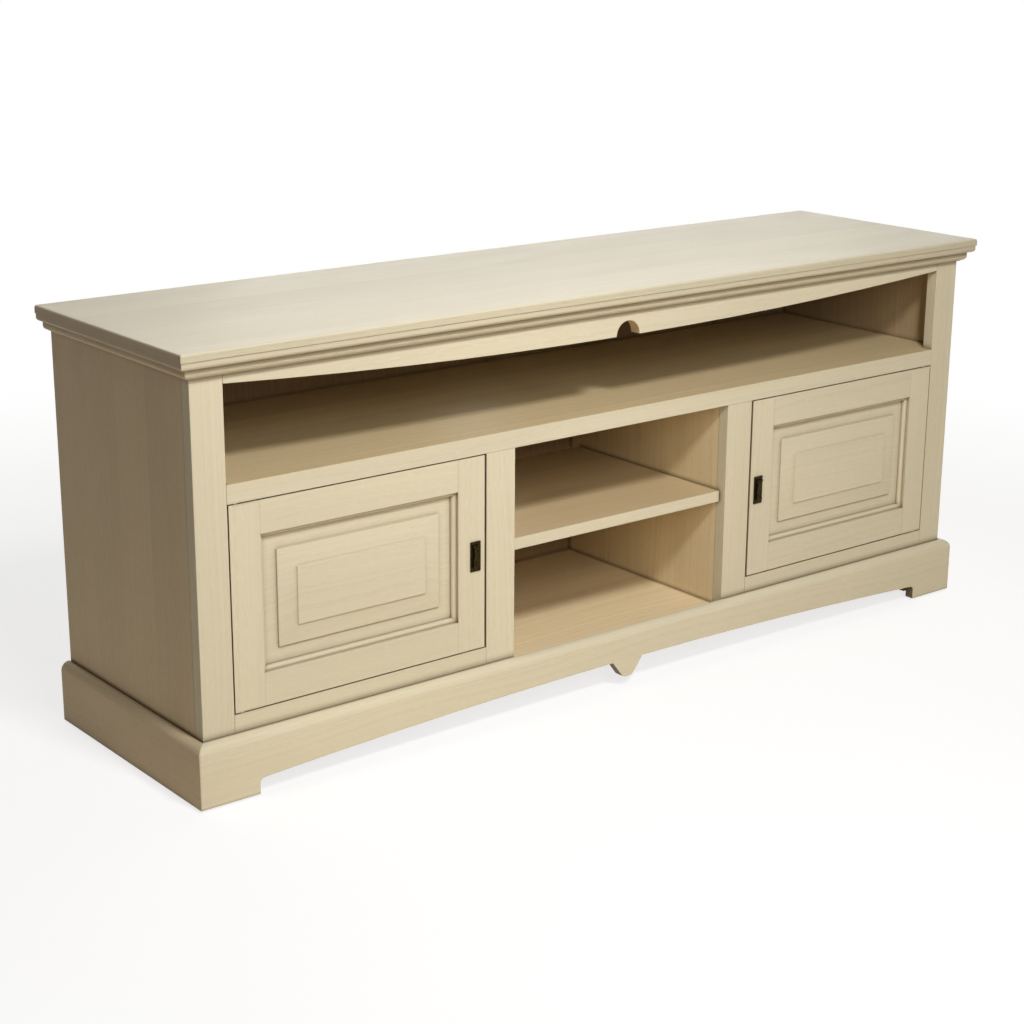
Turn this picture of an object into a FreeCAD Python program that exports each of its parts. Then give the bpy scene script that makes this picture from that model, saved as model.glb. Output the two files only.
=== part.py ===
import FreeCAD, Part
import os

from FreeCAD import Vector

# A country-style television cabinet in limed oak: a moulded top over a long open compartment, a raised-panel
# door at each side, an open centre bay with a loose shelf, and a plinth with feet, an arched apron and a
# pendant. Millimetres. X runs along the cabinet, the front faces -Y, and Z is up from the floor. The origin
# is on the floor, midway along the length and the depth.

# Overall width of the front and depth of the carcass, and the clear heights that stack up to the full height
FACE_WIDTH = 1650.0
CARCASS_DEPTH = 430.0
DOOR_OPENING_HEIGHT = 328.0
UPPER_COMPARTMENT_HEIGHT = 181.0

# Top board: a nose with a rounded top over a quarter-round bead, on the front and both ends
TOP_OVERHANG = 25.0
TOP_THICKNESS = 25.0
NOSE_HEIGHT = 12.5
NOSE_ROUND = 4.0
NOSE_STEP = 1.6
BEAD_ROUND = 6.0

# Cornice strips under the top board: a quarter round over a thin lip
CORNICE_HEIGHT = 17.0
CORNICE_PROJECTION = 13.0
CORNICE_LIP_PROJECTION = 5.0
CORNICE_LIP_HEIGHT = 1.5

# Face frame
FRAME_THICKNESS = 22.0
STILE_WIDTH = 55.0
CENTRE_STILE_WIDTH = 58.0
CENTRE_OPENING = 474.0
TOP_RAIL_END = 31.0
TOP_RAIL_BOW = 26.5
NOTCH_RADIUS = 25.0
MIDDLE_RAIL_HEIGHT = 30.0
LOWER_RAIL_SHOW = 29.0

# Carcass boards
SIDE_THICKNESS = 20.0
UPPER_SHELF_THICKNESS = 20.0
BOTTOM_THICKNESS = 20.0
BOTTOM_DROP = 14.0
PARTITION_THICKNESS = 20.0
BACK_THICKNESS = 6.0
BACK_PLAY = 0.5
CABLE_SLOT_WIDTH = 150.0
CABLE_NOTCH_HEIGHT = 45.0
CABLE_WINDOW_HEIGHT = 60.0
CABLE_WINDOW_DROP = 12.0

# Loose shelf in the centre bay, and the pins that carry it
SHELF_THICKNESS = 20.0
SHELF_RISE = 193.0
SHELF_SETBACK = 13.0
SHELF_SIDE_GAP = 1.0
SHELF_BACK_GAP = 25.0
SHELF_PIN_RADIUS = 2.5
SHELF_PIN_LENGTH = 20.0
SHELF_PIN_SEAT = 10.0
SHELF_PIN_MARGIN = 60.0

# Plinth: boards with a rounded top edge, an arched apron between two feet, and a pendant in the middle
PLINTH_HEIGHT = 104.0
PLINTH_THICKNESS = 18.0
PLINTH_SHOULDER = 3.0
PLINTH_QUIRK_WIDTH = 1.6
PLINTH_QUIRK_DEPTH = 4.0
FOOT_WIDTH = 103.5
FOOT_CORNER = 8.0
APRON_CLEARANCE = 28.0
APRON_RISE = 21.0
PENDANT_TOP_WIDTH = 68.0
PENDANT_TIP_WIDTH = 20.0
PENDANT_TIP_CORNER = 12.0
PENDANT_DROP = 31.0
REAR_RAIL_CLEARANCE = 30.0
REAR_RAIL_THICKNESS = 18.0
BLOCK_SIZE = 45.0
GLIDE_HEIGHT = 3.0
GLIDE_RADIUS = 12.0
GLIDE_NAIL_RADIUS = 1.5
GLIDE_NAIL_LENGTH = 15.0

# Cleats that hold the top board to the sides
CLEAT_SIZE = 25.0
CLEAT_MARGIN = 20.0
CLEAT_SCREW_MARGIN = 40.0

# Doors
DOOR_GAP = 2.0
LOCK_GAP = 4.0
DOOR_THICKNESS = 22.0
DOOR_MEMBER_WIDTH = 60.5
STICKING_ROUND = 6.5
STICKING_FILLET = 1.4
STICKING_QUIRK = 5.5
STICKING_LAND = 0.2
GROOVE_DEPTH = 9.0
GROOVE_PLAY = 0.1
PANEL_END_PLAY = 1.5
PANEL_EDGE_THICKNESS = 6.0
BORDER_WIDTH = 24.0
BEVEL_STEP = 3.6
BEVEL_WIDTH = 31.0
BEVEL_RISE = 5.0
FIELD_STEP = 2.4

# Pivot hinges: a plate with a pin in each rail, and a plate with a bore in each end of the door
HINGE_INSET = 14.0
HINGE_BACKSET = 6.5
HINGE_PLATE_LENGTH = 44.0
HINGE_PLATE_TAIL = 8.0
HINGE_PLATE_WIDTH = 10.0
HINGE_PLATE_THICKNESS = 2.5
HINGE_PIN_RADIUS = 2.5
HINGE_PIN_REACH = 8.0
HINGE_PIN_ROOM = 0.5
HINGE_BOSS_RADIUS = 4.5
HINGE_BOSS_PLAY = 0.2
HINGE_SCREW_FIRST = 14.0
HINGE_SCREW_PITCH = 14.0
HINGE_SCREW_LENGTH = 14.0

# Magnetic catches behind the tops of the doors
CATCH_WIDTH = 40.0
CATCH_DEPTH = 18.0
CATCH_HEIGHT = 25.0
CATCH_INSET = 10.0
CATCH_PLAY = 0.3
STRIKE_THICKNESS = 1.5
STRIKE_HEIGHT = 11.0
STRIKE_MARGIN = 1.5

# Drop pulls: a plate with two ears, a pin through them, and a tongue that hangs from the pin
PULL_INSET = 19.0
PULL_RISE = 158.5
PULL_WIDTH = 20.0
PULL_HEIGHT = 50.0
PULL_THICKNESS = 1.6
PULL_BOSS_RADIUS = 3.5
PULL_BOSS_DEPTH = 6.0
PULL_BOLT_RADIUS = 2.0
PULL_BOLT_SEAT = 4.0
PULL_BOLT_HEAD_RADIUS = 4.0
PULL_BOLT_HEAD_HEIGHT = 2.4
PULL_PIN_RADIUS = 1.0
PULL_PIN_DROP = 7.5
EAR_WIDTH = 2.2
EAR_RADIUS = 2.2
EAR_PLAY = 0.2
EYE_RADIUS = 2.1
EYE_LENGTH = 9.0
EYE_STANDOFF = 0.5
TONGUE_NECK = 4.4
TONGUE_LENGTH = 34.0
TONGUE_TIP_WIDTH = 13.0
TONGUE_THICKNESS = 2.2
TONGUE_LIP_RADIUS = 1.8

# Screws with countersunk heads, flush with what they hold
SCREW_RADIUS = 1.6
SCREW_HEAD_RADIUS = 3.0
SCREW_HEAD_HEIGHT = 2.0
TOP_SCREW_BITE = 14.0
BACK_SCREW_LENGTH = 24.0
BACK_SCREW_MARGIN = 105.0
BACK_SCREWS_PER_BOARD = 5
BACK_SCREWS_PER_PARTITION = 2

# Clearances of things that turn, and of things that are held
TURNING_CLEARANCE = 0.08
HELD_CLEARANCE = 0.05

# Distance under which two places are the same one
SAME_PLACE = 0.01

# Levels and faces that follow from the sizes above
X_FACE = FACE_WIDTH / 2
X_SIDE = X_FACE - SIDE_THICKNESS
X_STILE = X_FACE - STILE_WIDTH
X_BAY = CENTRE_OPENING / 2
X_CENTRE_STILE = X_BAY + CENTRE_STILE_WIDTH
Y_TOP_FRONT = -(CARCASS_DEPTH + TOP_OVERHANG) / 2
Y_FACE = Y_TOP_FRONT + TOP_OVERHANG
Y_INSIDE = Y_FACE + FRAME_THICKNESS
Y_BACK = Y_FACE + CARCASS_DEPTH
Y_BOARDS_END = Y_BACK - BACK_THICKNESS
Z_BOTTOM_TOP = PLINTH_HEIGHT - BOTTOM_DROP
Z_BOTTOM_UNDER = Z_BOTTOM_TOP - BOTTOM_THICKNESS
Z_DOOR_OPENING_LOW = PLINTH_HEIGHT + LOWER_RAIL_SHOW
Z_DOOR_OPENING_HIGH = Z_DOOR_OPENING_LOW + DOOR_OPENING_HEIGHT
Z_UPPER_SHELF_TOP = Z_DOOR_OPENING_HIGH + MIDDLE_RAIL_HEIGHT
Z_UPPER_SHELF_UNDER = Z_UPPER_SHELF_TOP - UPPER_SHELF_THICKNESS
Z_CARCASS_TOP = Z_UPPER_SHELF_TOP + UPPER_COMPARTMENT_HEIGHT
HEIGHT = Z_CARCASS_TOP + TOP_THICKNESS
Z_SHELF_UNDER = Z_BOTTOM_TOP + SHELF_RISE
X_DOOR_HINGE = -X_STILE + DOOR_GAP
X_DOOR_LOCK = -X_CENTRE_STILE - LOCK_GAP
Y_DOOR_BACK = Y_FACE + DOOR_THICKNESS
Z_DOOR_LOW = Z_DOOR_OPENING_LOW + DOOR_GAP
Z_DOOR_HIGH = Z_DOOR_OPENING_HIGH - DOOR_GAP
GROOVE_FRONT = STICKING_QUIRK + STICKING_ROUND + STICKING_LAND
BORDER_DEPTH = GROOVE_FRONT + GROOVE_PLAY

ALONG_X = Vector(1, 0, 0)
ALONG_Y = Vector(0, 1, 0)
UP = Vector(0, 0, 1)
DOWN = Vector(0, 0, -1)
FORWARD = Vector(0, -1, 0)

parts = {}


def block(x, y, z):
    """Box between two values along each axis."""
    low = Vector(x[0], y[0], z[0])
    return Part.makeBox(x[1] - x[0], y[1] - y[0], z[1] - z[0], low)


def rod(start, direction, length, radius):
    """Round bar from a point along a direction."""
    return Part.makeCylinder(radius, length, start, direction)


def face_inside(start, *steps):
    """Flat face in a closed outline: a step is the next corner, or an arc as (point on it, its end)."""
    edges = []
    here = start
    for step in steps + (start,):
        if isinstance(step, tuple):
            there = step[1]
            edges.append(Part.Arc(here, step[0], there).toShape())
        else:
            there = step
            edges.append(Part.LineSegment(here, there).toShape())
        here = there
    return Part.Face(Part.Wire(edges))


def quarter_turn(centre, start, end):
    """Quarter-round step about a centre, for an outline that has come to its start."""
    bisector = (start - centre) + (end - centre)
    radius = (start - centre).Length
    middle = centre + bisector.normalize() * radius
    return (middle, end)


def mirrored(shape):
    """The same piece on the other side of the cabinet."""
    return shape.mirror(Vector(0, 0, 0), ALONG_X)


def add_pair(name, left):
    """Left-hand piece, and its mirror image on the right."""
    parts[name + "_left"] = left
    parts[name + "_right"] = mirrored(left)


def add_door_pair(name, left):
    """Piece of the left-hand door, and the same piece of the right-hand one."""
    parts["door_left_" + name] = left
    parts["door_right_" + name] = mirrored(left)


def screw(head, direction, length, grow=0.0):
    """Countersunk screw whose head lies flush at a point; grow gives the hole that it sits in."""
    cone = Part.makeCone(SCREW_HEAD_RADIUS + grow, SCREW_RADIUS + grow, SCREW_HEAD_HEIGHT, head, direction)
    shank = rod(head, direction, length + grow, SCREW_RADIUS + grow)
    return cone.fuse(shank).removeSplitter()


def top_edge(place):
    """Moulded edge of the top board from the top down; place turns projection and height to a point."""
    nose_low = HEIGHT - NOSE_HEIGHT
    bead_out = TOP_OVERHANG - NOSE_STEP
    bead_in = bead_out - BEAD_ROUND
    bead_start = Z_CARCASS_TOP + BEAD_ROUND
    round_start = place(TOP_OVERHANG - NOSE_ROUND, HEIGHT)
    round_end = place(TOP_OVERHANG, HEIGHT - NOSE_ROUND)
    round_centre = place(TOP_OVERHANG - NOSE_ROUND, HEIGHT - NOSE_ROUND)
    return [
        round_start,
        quarter_turn(round_centre, round_start, round_end),
        place(TOP_OVERHANG, nose_low),
        place(bead_out, nose_low),
        place(bead_out, bead_start),
        quarter_turn(place(bead_in, bead_start), place(bead_out, bead_start), place(bead_in, Z_CARCASS_TOP)),
    ]


def make_top_board():
    """Top board: the front's section run along X, trimmed to the ends' section run along Y."""
    half_length = X_FACE + TOP_OVERHANG

    def at_front(projection, z):
        return Vector(-half_length, Y_FACE - projection, z)

    def at_left(projection, z):
        return Vector(-X_FACE - projection, Y_TOP_FRONT, z)

    back_low = Vector(-half_length, Y_BACK, Z_CARCASS_TOP)
    back_high = Vector(-half_length, Y_BACK, HEIGHT)
    right_low = Vector(half_length, Y_TOP_FRONT, Z_CARCASS_TOP)
    right_high = Vector(half_length, Y_TOP_FRONT, HEIGHT)
    along = face_inside(back_low, back_high, *top_edge(at_front)).extrude(ALONG_X * 2 * half_length)
    across = face_inside(right_low, right_high, *top_edge(at_left)).extrude(ALONG_Y * (Y_BACK - Y_TOP_FRONT))
    return along.common(across).common(mirrored(across))


def mitred_strips(section, projection, low, high):
    """Front and left-hand strips of one section round the cabinet, mitred where they meet."""
    left = -X_FACE - projection
    front = Y_FACE - projection

    def at_front(out, z):
        return Vector(left, Y_FACE - out, z)

    def at_left(out, z):
        return Vector(-X_FACE - out, front, z)

    def plan(*corners):
        points = [Vector(x, y, low) for x, y in corners]
        return face_inside(*points).extrude(UP * (high - low))

    front_plan = plan((left, front), (-left, front), (X_FACE, Y_FACE), (-X_FACE, Y_FACE))
    left_plan = plan((left, front), (-X_FACE, Y_FACE), (-X_FACE, Y_BACK), (left, Y_BACK))
    front_run = face_inside(*section(at_front)).extrude(ALONG_X * -2 * left)
    left_run = face_inside(*section(at_left)).extrude(ALONG_Y * (Y_BACK - front))
    return front_run.common(front_plan), left_run.common(left_plan)


def cornice_section(place):
    """Cornice strip: upright face, quarter round, thin lip."""
    low = Z_CARCASS_TOP - CORNICE_HEIGHT
    lip_top = low + CORNICE_LIP_HEIGHT
    round_top = lip_top + CORNICE_PROJECTION - CORNICE_LIP_PROJECTION
    round_start = place(CORNICE_PROJECTION, round_top)
    round_end = place(CORNICE_LIP_PROJECTION, lip_top)
    round_centre = place(CORNICE_LIP_PROJECTION, round_top)
    return [
        place(0, low),
        place(0, Z_CARCASS_TOP),
        place(CORNICE_PROJECTION, Z_CARCASS_TOP),
        round_start,
        quarter_turn(round_centre, round_start, round_end),
        place(CORNICE_LIP_PROJECTION, low),
    ]


def plinth_section(place):
    """Plinth board: upright face with a quarter-round top edge, and a narrow quirk against the carcass."""
    quirk_low = PLINTH_HEIGHT - PLINTH_QUIRK_DEPTH
    round_low = PLINTH_HEIGHT - (PLINTH_THICKNESS - PLINTH_SHOULDER)
    round_start = place(PLINTH_SHOULDER, PLINTH_HEIGHT)
    round_end = place(PLINTH_THICKNESS, round_low)
    round_centre = place(PLINTH_SHOULDER, round_low)
    return [
        place(0, GLIDE_HEIGHT),
        place(0, quirk_low),
        place(PLINTH_QUIRK_WIDTH, quirk_low),
        place(PLINTH_QUIRK_WIDTH, PLINTH_HEIGHT),
        round_start,
        quarter_turn(round_centre, round_start, round_end),
        place(PLINTH_THICKNESS, GLIDE_HEIGHT),
    ]


def arch_void():
    """Space under the apron: arched between the feet, with the pendant left standing in the middle."""
    foot = X_FACE + PLINTH_THICKNESS - FOOT_WIDTH
    front = Y_FACE - PLINTH_THICKNESS
    crown = APRON_CLEARANCE + APRON_RISE
    through = ALONG_Y * PLINTH_THICKNESS

    def at(x, z):
        return Vector(x, front, z)

    arch = face_inside(
        at(foot, 0),
        at(foot, APRON_CLEARANCE),
        (at(0, crown), at(-foot, APRON_CLEARANCE)),
        at(-foot, 0),
    ).extrude(through)
    foot_corners = corner_edges(arch, foot, APRON_CLEARANCE)
    tip = crown - PENDANT_DROP
    pendant = face_inside(
        at(-PENDANT_TOP_WIDTH / 2, crown),
        at(-PENDANT_TIP_WIDTH / 2, tip),
        at(PENDANT_TIP_WIDTH / 2, tip),
        at(PENDANT_TOP_WIDTH / 2, crown),
    ).extrude(through)
    tip_corners = corner_edges(pendant, PENDANT_TIP_WIDTH / 2, tip)
    rounded_pendant = pendant.makeFillet(PENDANT_TIP_CORNER, tip_corners)
    return arch.makeFillet(FOOT_CORNER, foot_corners).cut(rounded_pendant)


def corner_edges(shape, half_width, height):
    """The two level edges from front to back at a height, one at each side of the middle."""
    corners = []
    for edge in shape.Edges:
        first, last = edge.Vertexes[0], edge.Vertexes[-1]
        at_side = all(abs(abs(end.X) - half_width) < SAME_PLACE for end in (first, last))
        at_height = all(abs(end.Z - height) < SAME_PLACE for end in (first, last))
        if at_side and at_height and abs(first.X - last.X) < SAME_PLACE:
            corners.append(edge)
    return corners


def make_top_rail():
    """Top rail: its lower edge bows down to the middle, where a half-round notch is cut."""
    end = Z_CARCASS_TOP - TOP_RAIL_END
    middle = end - TOP_RAIL_BOW

    def at(x, z):
        return Vector(x, Y_FACE, z)

    rail = face_inside(
        at(-X_STILE, Z_CARCASS_TOP),
        at(X_STILE, Z_CARCASS_TOP),
        at(X_STILE, end),
        (at(0, middle), at(-X_STILE, end)),
    ).extrude(ALONG_Y * FRAME_THICKNESS)
    return rail.cut(rod(at(0, middle), ALONG_Y, FRAME_THICKNESS, NOTCH_RADIUS))


def back_panel_board():
    """Thin back between the sides, with a cable notch at its top and a cable window in the centre bay."""
    half = X_SIDE - BACK_PLAY
    depth = (Y_BOARDS_END, Y_BACK)
    slot = (-CABLE_SLOT_WIDTH / 2, CABLE_SLOT_WIDTH / 2)
    high = Z_CARCASS_TOP - BACK_PLAY
    window_high = Z_UPPER_SHELF_UNDER - CABLE_WINDOW_DROP
    board = block((-half, half), depth, (Z_BOTTOM_UNDER, high))
    notch = block(slot, depth, (high - CABLE_NOTCH_HEIGHT, high))
    window = block(slot, depth, (window_high - CABLE_WINDOW_HEIGHT, window_high))
    return board.cut([notch, window])


def back_screw_places():
    """Points on the back: along the upper shelf and the bottom panel, and up each partition."""
    shelf_line = Z_UPPER_SHELF_TOP - UPPER_SHELF_THICKNESS / 2
    bottom_line = Z_BOTTOM_TOP - BOTTOM_THICKNESS / 2
    partition_line = X_BAY + PARTITION_THICKNESS / 2
    reach = X_SIDE - BACK_SCREW_MARGIN
    along = 2 * reach / (BACK_SCREWS_PER_BOARD - 1)
    up = (Z_UPPER_SHELF_UNDER - Z_BOTTOM_TOP) / (BACK_SCREWS_PER_PARTITION + 1)
    places = []
    for index in range(BACK_SCREWS_PER_BOARD):
        places.append(Vector(index * along - reach, Y_BACK, shelf_line))
        places.append(Vector(index * along - reach, Y_BACK, bottom_line))
    for index in range(BACK_SCREWS_PER_PARTITION):
        places.append(Vector(-partition_line, Y_BACK, Z_BOTTOM_TOP + (index + 1) * up))
        places.append(Vector(partition_line, Y_BACK, Z_BOTTOM_TOP + (index + 1) * up))
    return places


def build_top():
    """Top board, cornice strips, and the cleats and screws that hold the top down."""
    cleat_front = Y_INSIDE + CLEAT_MARGIN
    cleat_back = Y_BOARDS_END - CLEAT_MARGIN
    cleat_low = Z_CARCASS_TOP - CLEAT_SIZE
    cleat = block((-X_SIDE, -X_SIDE + CLEAT_SIZE), (cleat_front, cleat_back), (cleat_low, Z_CARCASS_TOP))
    cleats = [cleat, mirrored(cleat)]
    heads = []
    for x in (-X_SIDE + CLEAT_SIZE / 2, X_SIDE - CLEAT_SIZE / 2):
        for y in (cleat_front + CLEAT_SCREW_MARGIN, cleat_back - CLEAT_SCREW_MARGIN):
            heads.append(Vector(x, y, cleat_low))
    length = CLEAT_SIZE + TOP_SCREW_BITE
    holes = [screw(head, UP, length, HELD_CLEARANCE) for head in heads]
    parts["top_board"] = make_top_board().cut(holes)
    parts["top_cleats"] = Part.makeCompound([one.cut(holes) for one in cleats])
    parts["top_screws"] = Part.makeCompound([screw(head, UP, length) for head in heads])
    low = Z_CARCASS_TOP - CORNICE_HEIGHT
    front, left = mitred_strips(cornice_section, CORNICE_PROJECTION, low, Z_CARCASS_TOP)
    parts["cornice_front"] = front
    add_pair("cornice", left)


def build_face_frame():
    """Stiles and rails of the front; the rails that carry the doors are cut for the hinge plates."""
    depth = (Y_FACE, Y_INSIDE)
    mortises = [hinge_mortise(True), hinge_mortise(False)]
    mortises += [hinge_screw(True, which, HELD_CLEARANCE) for which in (0, 1)]
    mortises += [hinge_screw(False, which, HELD_CLEARANCE) for which in (0, 1)]
    both_sides = mortises + [mirrored(cutter) for cutter in mortises]
    add_pair("stile", block((-X_FACE, -X_STILE), depth, (GLIDE_HEIGHT, Z_CARCASS_TOP)))
    add_pair("centre_stile", block((-X_CENTRE_STILE, -X_BAY), depth, (Z_BOTTOM_UNDER, Z_DOOR_OPENING_HIGH)))
    parts["top_rail"] = make_top_rail()
    middle = block((-X_STILE, X_STILE), depth, (Z_DOOR_OPENING_HIGH, Z_UPPER_SHELF_TOP))
    parts["middle_rail"] = middle.cut(both_sides)
    lower = block((-X_STILE, -X_CENTRE_STILE), depth, (Z_BOTTOM_UNDER, Z_DOOR_OPENING_LOW))
    add_pair("lower_rail", lower.cut(mortises))
    parts["lower_rail_centre"] = block((-X_BAY, X_BAY), depth, (Z_BOTTOM_UNDER, Z_BOTTOM_TOP))


def build_carcass():
    """Sides, upper shelf, bottom, partitions, back and the screws of the back."""
    depth = (Y_INSIDE, Y_BOARDS_END)
    across = (-X_SIDE, X_SIDE)
    places = back_screw_places()
    back_holes = [screw(at, FORWARD, BACK_SCREW_LENGTH, HELD_CLEARANCE) for at in places]
    pin_holes = [shelf_pin(x, y, HELD_CLEARANCE) for x, y in shelf_pin_places()]
    add_pair("side_panel", block((-X_FACE, -X_SIDE), (Y_INSIDE, Y_BACK), (GLIDE_HEIGHT, Z_CARCASS_TOP)))
    shelf = block(across, depth, (Z_UPPER_SHELF_UNDER, Z_UPPER_SHELF_TOP))
    parts["upper_shelf"] = shelf.cut(back_holes)
    parts["bottom_panel"] = block(across, depth, (Z_BOTTOM_UNDER, Z_BOTTOM_TOP)).cut(back_holes)
    partition = block((-X_BAY - PARTITION_THICKNESS, -X_BAY), depth, (Z_BOTTOM_TOP, Z_UPPER_SHELF_UNDER))
    add_pair("partition", partition.cut(back_holes + pin_holes))
    parts["back_panel"] = back_panel_board().cut(back_holes)
    parts["back_screws"] = Part.makeCompound([screw(at, FORWARD, BACK_SCREW_LENGTH) for at in places])


def shelf_pin_places():
    """Plan positions of the pins: the partition face that each one stands out of, and its depth."""
    front = Y_INSIDE + SHELF_PIN_MARGIN
    back = Y_BOARDS_END - SHELF_BACK_GAP - SHELF_PIN_MARGIN
    return [(x, y) for x in (-X_BAY, X_BAY) for y in (front, back)]


def shelf_pin(x, y, grow=0.0):
    """Pin that stands out of a partition under the shelf; grow gives its hole."""
    inward = 1 if x < 0 else -1
    start = Vector(x - inward * SHELF_PIN_SEAT, y, Z_SHELF_UNDER - SHELF_PIN_RADIUS)
    start = start - ALONG_X * inward * grow
    return rod(start, ALONG_X * inward, SHELF_PIN_LENGTH, SHELF_PIN_RADIUS + grow)


def build_shelf():
    """Loose shelf of the centre bay on its four pins."""
    half = X_BAY - SHELF_SIDE_GAP
    parts["centre_shelf"] = block(
        (-half, half),
        (Y_FACE + SHELF_SETBACK, Y_BOARDS_END - SHELF_BACK_GAP),
        (Z_SHELF_UNDER, Z_SHELF_UNDER + SHELF_THICKNESS),
    )
    parts["shelf_pins"] = Part.makeCompound([shelf_pin(x, y) for x, y in shelf_pin_places()])


def build_plinth():
    """Plinth boards, rear rail, corner blocks and the glides that the cabinet stands on."""
    front, left = mitred_strips(plinth_section, PLINTH_THICKNESS, GLIDE_HEIGHT, PLINTH_HEIGHT)
    parts["plinth_front"] = front.cut(arch_void())
    add_pair("plinth", left)
    inner = X_SIDE - BLOCK_SIZE
    rear = (Y_BOARDS_END - REAR_RAIL_THICKNESS, Y_BOARDS_END)
    parts["plinth_rear_rail"] = block((-inner, inner), rear, (REAR_RAIL_CLEARANCE, Z_BOTTOM_UNDER))
    blocks = []
    glides = []
    for x_low in (-X_SIDE, inner):
        for y_low in (Y_INSIDE, Y_BOARDS_END - BLOCK_SIZE):
            foot = Vector(x_low + BLOCK_SIZE / 2, y_low + BLOCK_SIZE / 2, 0)
            x = (x_low, x_low + BLOCK_SIZE)
            y = (y_low, y_low + BLOCK_SIZE)
            corner = block(x, y, (GLIDE_HEIGHT, Z_BOTTOM_UNDER))
            nail_top = GLIDE_HEIGHT + GLIDE_NAIL_LENGTH
            hole = rod(foot, UP, nail_top + HELD_CLEARANCE, GLIDE_NAIL_RADIUS + HELD_CLEARANCE)
            disc = rod(foot, UP, GLIDE_HEIGHT, GLIDE_RADIUS)
            blocks.append(corner.cut(hole))
            glides.append(disc.fuse(rod(foot, UP, nail_top, GLIDE_NAIL_RADIUS)).removeSplitter())
    parts["corner_blocks"] = Part.makeCompound(blocks)
    parts["foot_glides"] = Part.makeCompound(glides)


def member_section(place):
    """Section of a door stile or rail: quirk and ovolo on the front inner edge, groove for the panel."""
    width = DOOR_MEMBER_WIDTH
    round_in = width - STICKING_ROUND
    flat = round_in - STICKING_FILLET
    sticking_low = STICKING_QUIRK + STICKING_ROUND
    round_start = place(round_in, STICKING_QUIRK)
    round_end = place(width, sticking_low)
    groove_back = BORDER_DEPTH + PANEL_EDGE_THICKNESS + GROOVE_PLAY
    return [
        place(0, 0),
        place(flat, 0),
        place(flat, STICKING_QUIRK),
        round_start,
        quarter_turn(place(round_in, sticking_low), round_start, round_end),
        place(width, GROOVE_FRONT),
        place(width - GROOVE_DEPTH, GROOVE_FRONT),
        place(width - GROOVE_DEPTH, groove_back),
        place(width, groove_back),
        place(width, DOOR_THICKNESS),
        place(0, DOOR_THICKNESS),
    ]


def door_members():
    """Left-hand door's frame: full-height stiles, and rails whose ends fit over the stiles' moulded edges."""
    joint = DOOR_MEMBER_WIDTH - max(STICKING_FILLET + STICKING_ROUND, GROOVE_DEPTH)
    rail_start = X_DOOR_HINGE + joint
    rail_run = ALONG_X * (X_DOOR_LOCK - joint - rail_start)
    stile_run = UP * (Z_DOOR_HIGH - Z_DOOR_LOW)

    def hinge_side(across, depth):
        return Vector(X_DOOR_HINGE + across, Y_FACE + depth, Z_DOOR_LOW)

    def lock_side(across, depth):
        return Vector(X_DOOR_LOCK - across, Y_FACE + depth, Z_DOOR_LOW)

    def top_side(across, depth):
        return Vector(rail_start, Y_FACE + depth, Z_DOOR_HIGH - across)

    def bottom_side(across, depth):
        return Vector(rail_start, Y_FACE + depth, Z_DOOR_LOW + across)

    hinge_stile = face_inside(*member_section(hinge_side)).extrude(stile_run)
    lock_stile = face_inside(*member_section(lock_side)).extrude(stile_run)
    stiles = [hinge_stile, lock_stile]
    top_rail = face_inside(*member_section(top_side)).extrude(rail_run).cut(stiles)
    bottom_rail = face_inside(*member_section(bottom_side)).extrude(rail_run).cut(stiles)
    return hinge_stile, lock_stile, top_rail, bottom_rail


def panel_rectangle(margin, depth):
    """Rectangle inside the door's sight edge by a margin, at a depth behind the door's face."""
    inset = DOOR_MEMBER_WIDTH + margin
    x_low = X_DOOR_HINGE + inset
    x_high = X_DOOR_LOCK - inset
    z_low = Z_DOOR_LOW + inset
    z_high = Z_DOOR_HIGH - inset
    corners = [(x_low, z_low), (x_high, z_low), (x_high, z_high), (x_low, z_high)]
    return [Vector(x, Y_FACE + depth, z) for x, z in corners]


def door_panel():
    """Raised panel: an edge that floats in the grooves, then a step, a sloping bevel and a second step."""
    edge_margin = PANEL_END_PLAY - GROOVE_DEPTH
    field_margin = BORDER_WIDTH + BEVEL_WIDTH
    bevel_low = BORDER_DEPTH - BEVEL_STEP
    bevel_top = bevel_low - BEVEL_RISE
    board = face_inside(*panel_rectangle(edge_margin, BORDER_DEPTH)).extrude(ALONG_Y * PANEL_EDGE_THICKNESS)
    step = face_inside(*panel_rectangle(BORDER_WIDTH, BORDER_DEPTH)).extrude(FORWARD * BEVEL_STEP)
    bevel_foot = face_inside(*panel_rectangle(BORDER_WIDTH, bevel_low)).OuterWire
    bevel_head = face_inside(*panel_rectangle(field_margin, bevel_top)).OuterWire
    bevel = Part.makeLoft([bevel_foot, bevel_head], True, True)
    field = face_inside(*panel_rectangle(field_margin, bevel_top)).extrude(FORWARD * FIELD_STEP)
    return board.fuse([step, bevel, field]).removeSplitter()


def hinge_axis(z):
    """Point on the left-hand door's hinge line at a height."""
    return Vector(X_DOOR_HINGE + HINGE_INSET, Y_FACE + HINGE_BACKSET, z)


def hinge_plate_block(z_low):
    """Plain plate of a hinge, from a height upwards."""
    axis = hinge_axis(0)
    x_low = axis.x - HINGE_PLATE_TAIL
    y_low = axis.y - HINGE_PLATE_WIDTH / 2
    return block(
        (x_low, x_low + HINGE_PLATE_LENGTH),
        (y_low, y_low + HINGE_PLATE_WIDTH),
        (z_low, z_low + HINGE_PLATE_THICKNESS),
    )


def hinge_mortise(at_top):
    """Sinking for a hinge plate in the rail above or below the left-hand door."""
    low = Z_DOOR_OPENING_HIGH if at_top else Z_DOOR_OPENING_LOW - HINGE_PLATE_THICKNESS
    return hinge_plate_block(low)


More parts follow.
